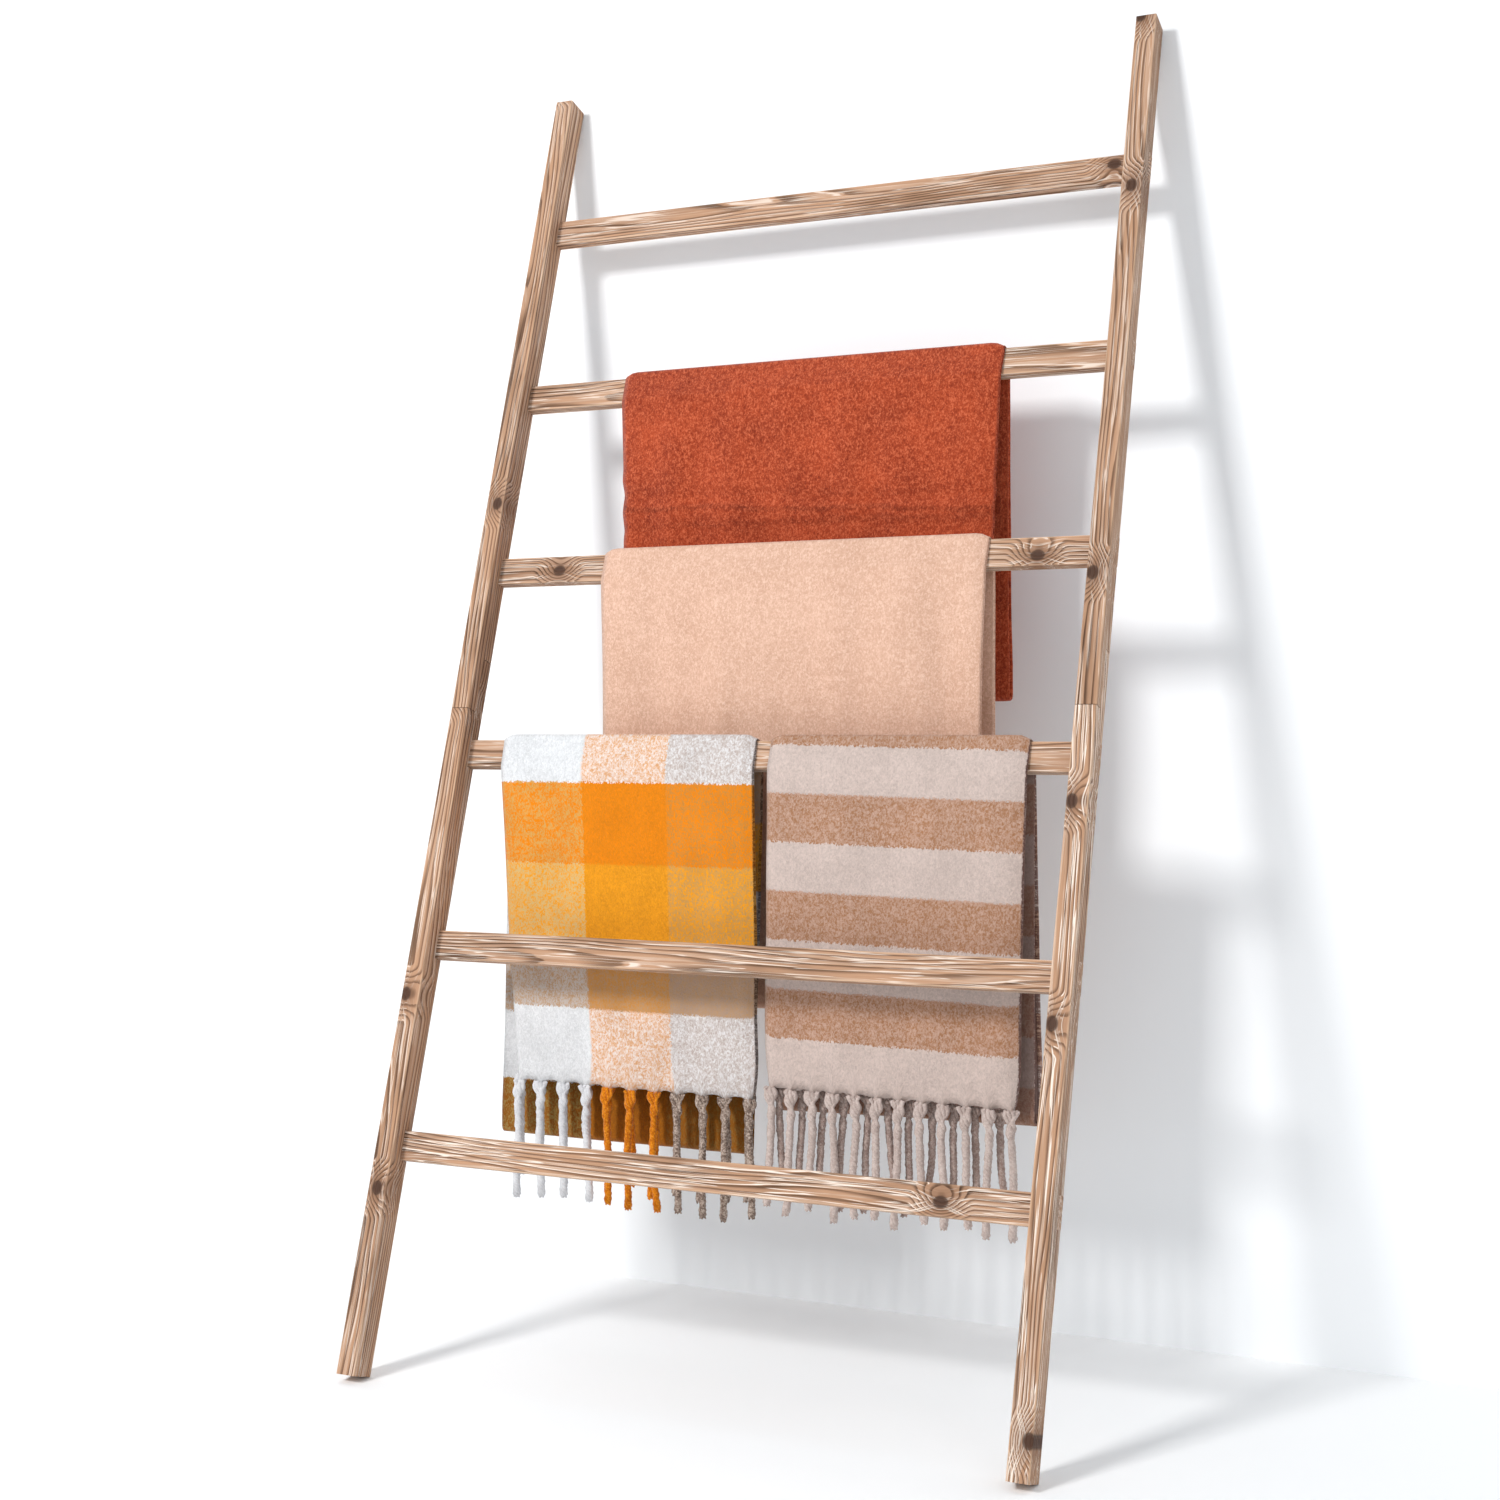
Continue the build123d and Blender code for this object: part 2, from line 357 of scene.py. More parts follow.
# %% Knot colours, then the group's outputs
HALO = (0.17, 0.078, 0.04, 1)
HEARTWOOD_PALE = (0.13, 0.055, 0.028, 1)
HEARTWOOD_DARK = (0.018, 0.010, 0.007, 1)
KNOT_RIM = (0.03, 0.016, 0.011, 1)

halo = sums(pine, "MULTIPLY", sums(pine, "POWER", knot_swirl, 2.0), 0.72)
pine_colour = blend_colour(pine, halo, pine_colour, HALO)
heartwood = blend_colour(pine, fibre, HEARTWOOD_PALE, HEARTWOOD_DARK)
pine_colour = blend_colour(pine, knot_core, pine_colour, heartwood)
rim = sums(pine, "MULTIPLY", knot_core, remap(pine, knot_core, 0.5, 0.95, 1.0, 0.0))
pine_colour = blend_colour(pine, rim, pine_colour, KNOT_RIM)

ridges = sums(pine, "MULTIPLY_ADD", late, 0.7, sums(pine, "MULTIPLY", fibre, 0.45))
ridges = sums(pine, "SUBTRACT", ridges, sums(pine, "MULTIPLY", knot_core, 0.8))
for socket, value in ((pine_out["Color"], pine_colour), (pine_out["Height"], ridges),
                      (pine_out["Roughness"], remap(pine, tone, 0.0, 1.0, 0.62, 0.8))):
    pine.links.new(value, socket)
print("pine group has", len(pine.nodes), "nodes")

# %% A pine finish for each board


def pine_finish(name, centre, look, half_width, half_depth, runs_across):
    """The pine group laid along a leaning rail, or along a rung that runs across."""
    seed_value, lime_value = look
    material, tree, shader = new_material(name)
    place = put(tree, "ShaderNodeTexCoord")
    settings = {"Vector": place.outputs["Object"], "Location": centre, "Rotation": (-LEAN, 0, 0)}
    straight = put(tree, "ShaderNodeMapping", settings, vector_type="TEXTURE").outputs[0]
    if runs_across:
        apart = put(tree, "ShaderNodeSeparateXYZ", {0: straight}).outputs
        straight = put(tree, "ShaderNodeCombineXYZ", {0: apart[2], 1: apart[1], 2: apart[0]}).outputs[0]
    grain = put(tree, "ShaderNodeGroup", node_tree=pine)
    tree.links.new(straight, grain.inputs["Vector"])
    for label, value in (("Seed", seed_value), ("Lime", lime_value),
                         ("Half Width", half_width), ("Half Depth", half_depth)):
        grain.inputs[label].default_value = value
    bump = put(tree, "ShaderNodeBump", {"Height": grain.outputs["Height"], "Strength": 0.75,
                                        "Distance": 0.0011})
    tree.links.new(grain.outputs["Color"], shader.inputs["Base Color"])
    tree.links.new(grain.outputs["Roughness"], shader.inputs["Roughness"])
    tree.links.new(bump.outputs[0], shader.inputs["Normal"])
    shader.inputs["Specular IOR Level"].default_value = 0.3
    return material


def middle_of(*nodes):
    """The middle of the box round some CAD nodes."""
    boxes = [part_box(node) for node in nodes]
    low = [min(box[0][axis] for box in boxes) for axis in range(3)]
    high = [max(box[1][axis] for box in boxes) for axis in range(3)]
    return tuple((a + b) / 2 for a, b in zip(low, high))


def finish_node(node, material):
    """Give a CAD node one finish all over."""
    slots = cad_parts[node].data.materials
    slots.clear()
    slots.append(material)


# each board's seed, and how much lime it holds
RAIL_HALVES = (0.0135, 0.019)
RUNG_HALVES = (0.019, 0.008)
RAIL_LOOKS = {"left_rail_upper": (3.1, 0.35), "left_rail_lower": (8.7, 0.50),
              "right_rail_upper": (5.2, 0.48), "right_rail_lower": (11.776, 1.0)}
for node, look in RAIL_LOOKS.items():
    side = node.split("_")[0]
    rail_middle = middle_of(f"{side}_rail_upper", f"{side}_rail_lower")
    finish_node(node, pine_finish(f"pine_{node}", rail_middle, look, *RAIL_HALVES, False))

RUNG_LOOKS = {"rung_1": (21.3, 0.55), "rung_2": (25.8, 0.65), "rung_3": (33.5, 0.6),
              "rung_4": (41.9, 0.6), "rung_5": (47.2, 0.65), "rung_6": (52.6, 0.9)}
for node, look in RUNG_LOOKS.items():
    finish_node(node, pine_finish(f"pine_{node}", middle_of(node), look, *RUNG_HALVES, True))
print("pine on", len(RAIL_LOOKS) + len(RUNG_LOOKS), "boards")

# %% Zinc and brass


def metal_finish(name, colour, rough, scratch):
    """Plain metal with fine scratches that break up its shine."""
    material, tree, shader = new_material(name)
    place = put(tree, "ShaderNodeTexCoord")
    marks = soft_noise(tree, place.outputs["Object"], 1400.0, 2.0)
    shader.inputs["Metallic"].default_value = 1.0
    shade = remap(tree, marks, 0.3, 0.7)
    dull = tuple(part * 0.7 for part in colour)
    tree.links.new(blend_colour(tree, shade, (*dull, 1), (*colour, 1)), shader.inputs["Base Color"])
    worn = remap(tree, marks, 0.3, 0.7, rough - scratch, rough + scratch)
    tree.links.new(worn, shader.inputs["Roughness"])
    return material


zinc = metal_finish("zinc_plate", (0.58, 0.59, 0.62), 0.36, 0.1)
brass = metal_finish("plain_brass", (0.78, 0.56, 0.25), 0.34, 0.08)
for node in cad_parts:
    if "_screw_" in node or "_bolt_" in node:
        finish_node(node, zinc)
    elif "_insert_" in node:
        finish_node(node, brass)
print("metal finishes set")

# %% [markdown]
# ## How a throw is folded and hung
#
# Each throw is one rectangle of cloth. It is pleated widthways, back and forth, to a narrow strip,
# the strip is doubled end to end, and that pad is laid over a rung.
# A simulation would have to keep many close layers apart, so the folds are worked out instead:
# a flat grid is made at the cloth's cut size, and each of its points is carried to its place in the
# folded stack. Small waves, creases and slipped edges then take the stiffness away.

# %% Where the cloth bends over a rung
RUNG_HEIGHT = 0.038
RUNG_THICK = 0.016
CLEAR = 0.0006
PAD_THICK = 0.011
ROW_STEP = 0.0105
FRONT_FACE_STEP = 0.008
TOP_FACE_STEP = 0.006


def bend(corner, start, end, steps):
    """Points on a corner whose outward direction turns from one angle to another."""
    turns = [start + (end - start) * i / steps for i in range(steps + 1)]
    return [(corner[0], corner[1], math.cos(turn), math.sin(turn)) for turn in turns]


def run(first, second, normal, step):
    """Points along a straight stretch, its ends left to the bends."""
    length = math.dist(first, second)
    count = max(2, round(length / step))
    shares = [i / count for i in range(1, count)]
    return [(first[0] + (second[0] - first[0]) * share, first[1] + (second[1] - first[1]) * share,
             *normal) for share in shares]


def path_over(rung, front_hang, back_hang, row_step=ROW_STEP):
    """Y, Z and outward direction from the front hem, over the rung, to the back hem."""
    low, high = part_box(rung)
    crest = high[2] + CLEAR
    foot = (low[1], low[2] + RUNG_THICK * math.sin(LEAN))
    brow = (low[1] + RUNG_HEIGHT * math.sin(LEAN), high[2])
    nape = (high[1], high[2] - RUNG_THICK * math.sin(LEAN))
    out = math.pi
    sloped = math.pi - LEAN
    upright = math.pi / 2 - LEAN
    hem = (foot[0], crest - front_hang)
    tail = (nape[0], crest - back_hang)
    points = [(hem[0], hem[1], -1.0, 0.0)]
    points += run(hem, foot, (-1.0, 0.0), row_step)
    points += bend(foot, out, sloped, 2)
    points += run(foot, brow, (math.cos(sloped), math.sin(sloped)), FRONT_FACE_STEP)
    points += bend(brow, sloped, upright, 8)
    points += run(brow, nape, (math.cos(upright), math.sin(upright)), TOP_FACE_STEP)
    points += bend(nape, upright, 0.0, 7)
    points += run(nape, tail, (1.0, 0.0), ROW_STEP)
    points.append((tail[0], tail[1], 1.0, 0.0))
    return points, crest


print("cloth path over rung_2 has", len(path_over("rung_2", 0.44, 0.45)[0]), "rows")

# %% Where the cloth turns at the sides
HIDDEN_STEP = 0.0135


def pleat_columns(left, right, plies, ply_gap, step, slip):
    """X, depth in the stack and distance along the cloth, for the pleats of one strip."""
    columns = []
    travelled = 0.0
    for ply in range(plies):
        count = round((right - left) / (step if ply == 0 else HIDDEN_STEP))
        draw_in = slip * (0.35 + 0.65 * noise.random()) if ply else 0.0
        start, end = (left, right - draw_in) if ply % 2 == 0 else (right - draw_in, left)
        if ply and ply % 2 == 0:
            start = left + draw_in
        depth = (ply + 0.5) * ply_gap
        for i in range(count + 1):
            columns.append((start + (end - start) * i / count, depth, travelled))
            travelled += abs(end - start) / count
        if ply < plies - 1:
            outward = 1 if ply % 2 == 0 else -1
            for turn in (0.25, 0.5, 0.75):
                bulge = outward * ply_gap * math.sin(math.pi * turn)
                rise = ply_gap * (1 - math.cos(math.pi * turn)) / 2
                columns.append((end + bulge, depth + rise, travelled + ply_gap * turn))
    return columns


noise.seed_set(11)
print("pleats of three plies:", len(pleat_columns(0, 0.55, 3, 0.0018, 0.011, 0.004)), "columns")

# %% Waves, creases and slack
FULL_SWAY_DROP = 0.45
BROAD_SWAY, FOLD_SWAY, FINE_SWAY = 0.0075, 0.0030, 0.0007
CREASE_HALF_WIDTH = 0.0095


def sway(seed_value, x, drop, front):
    """How far the hanging cloth swings out, more towards its hem."""
    reach = min(drop / FULL_SWAY_DROP, 1.2)
    side = 0.0 if front else 7.0
    broad = noise.noise(Vector((x * 3.2 + seed_value, drop * 1.6, side)))
    folds = noise.noise(Vector((x * 13.0, drop * 2.2 + seed_value, side + 3.0)))
    fine = noise.noise(Vector((x * 34.0, drop * 30.0, seed_value + side)))
    return reach ** 1.3 * BROAD_SWAY * broad + reach * FOLD_SWAY * folds + FINE_SWAY * fine


def bell(distance, width):
    """One at no distance, fading to nothing past the width."""
    return math.exp(-((distance / width) ** 2))


def crease(drop, x, marks):
    """Soft ridges that were pressed in while the cloth lay folded."""
    height = 0.0
    for mark, size, slant in marks:
        line = mark + slant * x + 0.012 * noise.noise(Vector((x * 6.0, mark * 40.0, 1.0)))
        height += size * bell(drop - line, CREASE_HALF_WIDTH)
    return height


def ripple(look, x, drop):
    """Soft upright waves on the front, deepest half way down."""
    wave = noise.noise(Vector((x * 20.0 + 4.0, drop * 2.6, look["seed"])))
    return look["ripples"] * min(drop / 0.12, 1.0) * wave


print("sway at a hem:", round(sway(1.0, 0.1, 0.45, True), 4))

# %% The folded cloth
GATHER_LENGTH = 0.042
ARCH_HEIGHT = 0.015
TASSEL_INSET = 0.006
PRESSED = 0.26
ROUNDED = 0.34
SIDE_DIP = 0.0022
HELD_DROP = 0.05
SIDE_WAVER = 0.004
HEM_WAVER = 0.0035


def fold_cloth(name, look):
    """Make one throw as a folded and hung sheet, with its flat place kept as its UV map."""
    noise.seed_set(look["seed"])
    path, crest = path_over(look["rung"], look["front_hang"], look["back_hang"], look["row_step"])
    half = PAD_THICK / 2
    columns = pleat_columns(look["left"], look["right"], look["plies"], half / look["plies"],
                            look["step"], look["slip"])
    rows = [(point, True, 0.0) for point in path]
    rows += [(path[-1], None, turn) for turn in (0.2, 0.4, 0.6, 0.8)]
    rows += [(point, False, 0.0) for point in reversed(path)]
    lengths = [0.0]
    for (before, _, _), (after, _, turn) in zip(rows, rows[1:]):
        gap = math.dist(before[:2], after[:2]) + half * math.dist(before[2:], after[2:])
        lengths.append(lengths[-1] + (gap if gap else half * math.pi / 5))

    sheet = bmesh.new()
    sheet.loops.layers.uv.new("cloth")
    bmesh.ops.create_grid(sheet, x_segments=len(columns) - 1, y_segments=len(rows) - 1, size=1)
    cloth_map = sheet.loops.layers.uv["cloth"]
    last_column = len(columns) - 1
    last_row = len(rows) - 1
    for face in sheet.faces:
        for corner in face.loops:
            i = round((corner.vert.co.x + 1) / 2 * last_column)
            j = round((corner.vert.co.y + 1) / 2 * last_row)
            slid = slide_along(look, columns[i][0], rows[j][0], crest) * (1 if j < last_row / 2 else -1)
            corner[cloth_map].uv = (columns[i][2], lengths[j] + slid)
    for vert in sheet.verts:
        i = round((vert.co.x + 1) / 2 * last_column)
        j = round((vert.co.y + 1) / 2 * last_row)
        vert.co = folded_place(look, columns[i], rows[j], crest, half)
    mesh = bpy.data.meshes.new(name)
    sheet.to_mesh(mesh)
    sheet.free()
    for polygon in mesh.polygons:
        polygon.use_smooth = True
    piece = bpy.data.objects.new(name, mesh)
    scene.collection.objects.link(piece)
    thicken = piece.modifiers.new("thickness", "SOLIDIFY")
    thicken.thickness = look["cloth_thick"]
    thicken.offset = 0.0
    flat = (columns[-1][2], lengths[-1])
    print(name, "cut", [round(size, 2) for size in flat], "m,", len(mesh.polygons), "faces")
    return piece, flat


def slide_along(look, x, point, crest):
    """How far a turned throw has slid along itself at one side, measured from its hem."""
    front = point[2] < 0
    hang = look["front_hang"] if front else look["back_hang"]
    share = min(max(crest - point[1], 0.0) / hang, 1.0)
    tilt = look["tilt"] * (x - (look["left"] + look["right"]) / 2)
    return tilt * (1 - share if front else 1 - share)


def folded_place(look, column, row, crest, half):
    """Carry one point of the flat cloth to its place in the hung stack."""
    x, depth, _ = column
    (y, z, out_y, out_z), outer, turn = row
    if outer is None:
        reach = half - depth
        stack = half + reach * math.cos(math.pi * turn)
        z -= reach * math.sin(math.pi * turn) * 1.6
    else:
        stack = 2 * half - depth if outer else depth
    drop = max(crest - z, 0.0)
    front = out_y < 0
    hang = look["front_hang"] if front else look["back_hang"]
    share = min(drop / hang, 1.0)
    eased = min(max(drop - HELD_DROP, 0.0) / hang, 1.0)
    # weight presses the pad thin on the rung, and the outer ply rounds over at the sides
    edge = max(min(x - look["left"], look["right"] - x), 0.0)
    stack *= 1.0 - PRESSED * bell(drop, 0.035)
    stack *= 1.0 - ROUNDED * bell(edge, 0.007)
    z -= SIDE_DIP * bell(edge, 0.006) * bell(drop, 0.02)
    # below the rung the inner plies ease away from the outer one, and their hems slip up
    flat_stack = stack / (2 * half)
    stack = 2 * half - (2 * half - stack) * (1.0 + look["spread"] * eased)
    z += eased * look["hem_slip"] * (1 - flat_stack) * (1 if front else 0.3)
    push = stack + (crease(drop, x, look["creases"]) + ripple(look, x, drop) if front else 0.0)
    y += out_y * push + eased * sway(look["seed"], x, drop, front) * (1 if front else 1.2)
    z += out_z * push
    shift, narrow = look["front_shift"] if front else look["back_shift"]
    middle = (look["left"] + look["right"]) / 2
    tilt = look["tilt"] * (x - middle)
    x += share * (shift + narrow * (x - middle))
    x += eased * SIDE_WAVER * noise.noise(Vector((drop * 7, x * 2, 5.0)))
    z += share * tilt * (-1 if front else 1)
    if not front:
        x += eased * look["fan"] * flat_stack
    wobble = noise.noise(Vector((x * 9.0, 2.0 if front else 6.0, look["seed"] * 0.37)))
    if front:
        z += share ** 4 * HEM_WAVER * wobble
    if look["tassels"] and front:
        gathered = min(max((drop - hang + GATHER_LENGTH) / GATHER_LENGTH, 0.0), 1.0)
        phase = tassel_phase(look, column[0])
        from_arch = 2 * abs(phase - round(phase))
        z -= gathered ** 1.1 * ARCH_HEIGHT * from_arch ** 2.2
        x += gathered ** 1.5 * 0.0046 * math.sin(2 * math.pi * phase)
        y += out_y * gathered * -0.0016 * math.cos(2 * math.pi * phase)
    return (x, y, z)


def tassel_phase(look, x):
    """How many tassels fit left of a point; a tassel hangs at each half."""
    first, last = look["left"] + TASSEL_INSET, look["right"] - TASSEL_INSET
    return (x - first) / (last - first) * (look["tassels"] - 1) + 0.5


print("folding helpers ready")

# %% Fold and hang the four throws
# steps of the grid, slack of the plies and hems, shift and narrowing of each panel, all in metres
PLAIN = {"step": 0.0080, "row_step": ROW_STEP, "slip": 0.006, "cloth_thick": 0.0012, "spread": 0.5,
         "hem_slip": 0.008, "front_shift": (0.0, 0.0), "back_shift": (0.0, 0.0), "tilt": 0.0,
         "fan": 0.003, "ripples": 0.0065, "tassels": 0, "creases": ()}
FRINGED = {**PLAIN, "plies": 4, "step": 0.0052, "cloth_thick": 0.00095, "ripples": 0.0045}
# each crease: how far below the crest, its height and its slant
RUST_CREASES = ((0.162, 0.0022, 0.040), (0.182, -0.0034, 0.040), (0.201, 0.0024, 0.040),
                (0.222, -0.0026, 0.010))
THROWS = {
    "rust_cloth": {**PLAIN, "node": "rust_throw", "rung": "rung_2", "seed": 3, "plies": 3,
                   "front_hang": 0.440, "back_hang": 0.450, "creases": RUST_CREASES,
                   "front_shift": (-0.008, -0.05), "fan": 0.006, "row_step": 0.0062},
    "peach_cloth": {**PLAIN, "node": "peach_throw", "rung": "rung_3", "seed": 8, "plies": 3,
                    "front_hang": 0.597, "back_hang": 0.605, "front_shift": (-0.006, -0.03),
                    "ripples": 0.013},
    "plaid_cloth": {**FRINGED, "node": "plaid_throw", "rung": "rung_4", "seed": 14,
                    "front_hang": 0.455, "back_hang": 0.530, "tassels": 11,
                    "front_shift": (0.0145, -0.052), "back_shift": (-0.016, 0.0)},
    "striped_cloth": {**FRINGED, "node": "striped_throw", "rung": "rung_4", "seed": 21,
                      "front_hang": 0.440, "back_hang": 0.465, "tassels": 12, "tilt": 0.022,
                      "front_shift": (-0.007, -0.03), "fan": 0.018},
}
cloths = {}
for name, look in THROWS.items():
    low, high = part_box(look["node"])
    look["left"], look["right"] = low[0], high[0]
    piece, flat = fold_cloth(name, look)
    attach(piece, name.split("_")[0])
    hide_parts(look["node"])
    cloths[name] = (piece, flat)
print("cloths:", list(cloths))

# %% [markdown]
# ## Wool
#
# The throws are woven from thick brushed yarn. Brushing lifts the fibres into small curls, so the
# weave itself hardly shows, and where two colours cross, both show as flecks.
# One group makes the brushed surface from the cloth's flat place: clumps, curls and fibres.
# Each throw then puts its own colours on it.

# %% The napped wool group
wool, wool_in, wool_out = new_group(
    "napped wool", [("Place", "vector", None), ("Seed", "float", 0.0)],
    [("Mottle", "float"), ("Fleck", "float"), ("Height", "float")])
combed = put(wool, "ShaderNodeMapping", {"Vector": wool_in["Place"], "Scale": (1.0, 0.72, 1.0)})
shifted = put(wool, "ShaderNodeVectorMath", {0: combed.outputs[0], 1: wool_in["Seed"]},
              operation="ADD")


def nap_noise(scale, detail, rough, distort):
    """Noise on the combed cloth, about 1/scale metres across."""
    values = {"Vector": shifted.outputs[0], "Scale": scale, "Detail": detail, "Roughness": rough,
              "Distortion": distort}
    return put(wool, "ShaderNodeTexNoise", values).outputs[0]


patches = nap_noise(18.0, 3.0, 0.6, 0.0)
clumps = nap_noise(150.0, 2.0, 0.6, 0.4)
curls = nap_noise(430.0, 2.0, 0.65, 0.8)
fibres = nap_noise(900.0, 1.0, 0.6, 0.8)
strands = sums(wool, "MULTIPLY_ADD", curls, 0.68, sums(wool, "MULTIPLY", clumps, 0.32))
mottle = sums(wool, "MULTIPLY_ADD", patches, 0.25, sums(wool, "MULTIPLY", strands, 0.75))
wool.links.new(remap(wool, mottle, 0.33, 0.67), wool_out["Mottle"])
wool.links.new(remap(wool, strands, 0.38, 0.62), wool_out["Fleck"])
height = sums(wool, "MULTIPLY_ADD", fibres, 0.22, sums(wool, "MULTIPLY", strands, 0.78))
wool.links.new(height, wool_out["Height"])
print("napped wool:", len(wool.nodes), "nodes")

# %% Tools for wool colours


def yarn(red, green, blue):
    """A dyer's 0-255 colour as the linear colour a shader wants."""
    channels = (red / 255, green / 255, blue / 255)
    return (*((c / 12.92 if c <= 0.04045 else ((c + 0.055) / 1.055) ** 2.4) for c in channels), 1.0)


def wool_finish(name, seed_value, colour_maker, pile=0.0022, strength=0.8, read="UV"):
    """A brushed wool finish whose colour comes from colour_maker."""
    material, tree, shader = new_material(name)
    place = put(tree, "ShaderNodeTexCoord").outputs[read]
    nap = put(tree, "ShaderNodeGroup", node_tree=wool)
    tree.links.new(place, nap.inputs["Place"])
    nap.inputs["Seed"].default_value = seed_value
    colour = colour_maker(tree, place, nap.outputs["Mottle"], nap.outputs["Fleck"])
    values = {"Height": nap.outputs["Height"], "Strength": strength, "Distance": pile}
    bump = put(tree, "ShaderNodeBump", values)
    tree.links.new(colour, shader.inputs["Base Color"])
    tree.links.new(bump.outputs[0], shader.inputs["Normal"])
    shader.inputs["Roughness"].default_value = 0.95
    shader.inputs["Specular IOR Level"].default_value = 0.12
    shader.inputs["Sheen Weight"].default_value = 0.18
    shader.inputs["Sheen Roughness"].default_value = 0.5
    return material


def one_colour(deep, bright, tip, tip_share=0.35, tip_power=3.0):
    """Wool of a single dye: deep between the clumps as painted shade, bright on them, paler at the
    fibre tips.
    """
    def colour(tree, place, mottle, fleck):
        # painted shade: the deep colour between the clumps
        body = blend_colour(tree, mottle, deep, bright)
        tips = sums(tree, "MULTIPLY", sums(tree, "POWER", fleck, tip_power), tip_share)
        return blend_colour(tree, tips, body, tip)
    return colour


def bands(tree, value, stops):
    """Sharp-edged bands of colour; the alpha says how much of the yarn shows."""
    ramp = put(tree, "ShaderNodeValToRGB", {0: value})
    ramp.color_ramp.interpolation = "CONSTANT"
    elements = ramp.color_ramp.elements
    while len(elements) < len(stops):
        elements.new(1.0)
    for element, (start, colour, cover) in zip(elements, stops):
        element.position = start
    for element, (start, colour, cover) in zip(elements, stops):
        element.color = (*colour[:3], cover)
    return ramp.outputs[0], ramp.outputs[1]


def ragged(tree, value, fleck, size):
    """Push a distance to and fro by the nap, so that a band's edge isn't ruled."""
    return sums(tree, "MULTIPLY_ADD", sums(tree, "SUBTRACT", fleck, 0.5), size, value)


print("rust as a shader colour:", [round(c, 3) for c in yarn(185, 83, 50)])

# %% Rust and peach wool
# painted shade along each fold: how far along the throw from its front hem, its slant and its depth of
# shade
FOLD_SHADE_LINES = ((0.240, -0.040, 0.42), (0.214, -0.010, 0.20))
# the colour of the painted shade in the fold lines
RUST_FOLD_SHADE = yarn(92, 32, 16)
plain_rust = one_colour(yarn(128, 44, 22), yarn(190, 79, 43), yarn(220, 126, 90))


def rust_colour(tree, place, mottle, fleck):
    """Rust wool, with painted shade along two fold lines."""
    body = plain_rust(tree, place, mottle, fleck)
    across, along, _ = put(tree, "ShaderNodeSeparateXYZ", {0: place}).outputs
    wander = soft_noise(tree, place, 9.0, 2.0)
    # marks: painted shade along the fold lines, less where the wool is bright
    marks = 0.0
    for mark, slant, depth in FOLD_SHADE_LINES:
        start = sums(tree, "MULTIPLY_ADD", wander, 0.028, mark)
        line = sums(tree, "MULTIPLY_ADD", across, slant, start)
        gap = sums(tree, "ABSOLUTE", sums(tree, "SUBTRACT", along, line))
        marks = sums(tree, "MAXIMUM", marks, remap(tree, gap, 0.001, 0.006, depth, 0.0))
    marks = sums(tree, "MULTIPLY", marks, remap(tree, mottle, 0.9, 0.1, 0.3, 1.0))
    return blend_colour(tree, marks, body, RUST_FOLD_SHADE)


rust_wool = wool_finish("rust_wool", 2.0, rust_colour, pile=0.0024)
peach_wool = wool_finish("peach_wool", 5.0, one_colour(yarn(200, 158, 134), yarn(223, 182, 159),
                                                        yarn(240, 208, 188)), pile=0.0018)
print("plain wools ready")

# %% Plaid wool
WHITE = yarn(225, 225, 226)
ORANGE = yarn(231, 149, 36)
MAUVE_GREY = yarn(190, 166, 153)
# taupe darkened as painted shade, for the inner plies that show at the plaid's side
TAUPE_IN_SHADE = yarn(96, 72, 60)
TAUPE = yarn(178, 140, 102)
MUSTARD = yarn(225, 127, 3)
LIGHT_ORANGE = yarn(229, 150, 24)
# mustard darkened as painted shade, for the band at the back panel's bottom fold
MUSTARD_IN_SHADE = yarn(154, 92, 18)
CLEAR_TINT = (1.0, 1.0, 1.0, 1.0)
GOLD_TINT = (1.0, 0.85, 0.30, 1.0)
PALE_GOLD_TINT = (1.0, 0.95, 0.52, 1.0)
PLAID_FLAT = cloths["plaid_cloth"][1]
COLUMN = 0.1243
# the fourth column, on the inner plies, is taupe in painted shade
WARP = [(0, WHITE, 1.0), (1, ORANGE, 1.0), (2, MAUVE_GREY, 1.0), (3.04, TAUPE_IN_SHADE, 0.30),
        (4, MAUVE_GREY, 1.0), (5, ORANGE, 1.0)]
# each band of weft: where it starts, its colour, how much it covers, its tint on the warp
WEFT = [(0.0, WHITE, 0.52, CLEAR_TINT), (0.097, TAUPE, 0.70, CLEAR_TINT),
        (0.183, LIGHT_ORANGE, 0.74, PALE_GOLD_TINT), (0.290, MUSTARD, 0.82, GOLD_TINT),
        (0.397, WHITE, 0.52, CLEAR_TINT), (0.504, TAUPE, 0.7, CLEAR_TINT),
        (0.590, LIGHT_ORANGE, 0.74, PALE_GOLD_TINT), (0.675, WHITE, 0.55, CLEAR_TINT),
        (0.762, TAUPE, 0.7, CLEAR_TINT), (0.852, WHITE, 0.6, CLEAR_TINT),
        # the last band, at the back panel's bottom fold, is mustard in painted shade
        (0.943, MUSTARD_IN_SHADE, 0.90, GOLD_TINT)]


RAGGED_EDGE = 0.0035
FLECK_SPREAD = 0.56


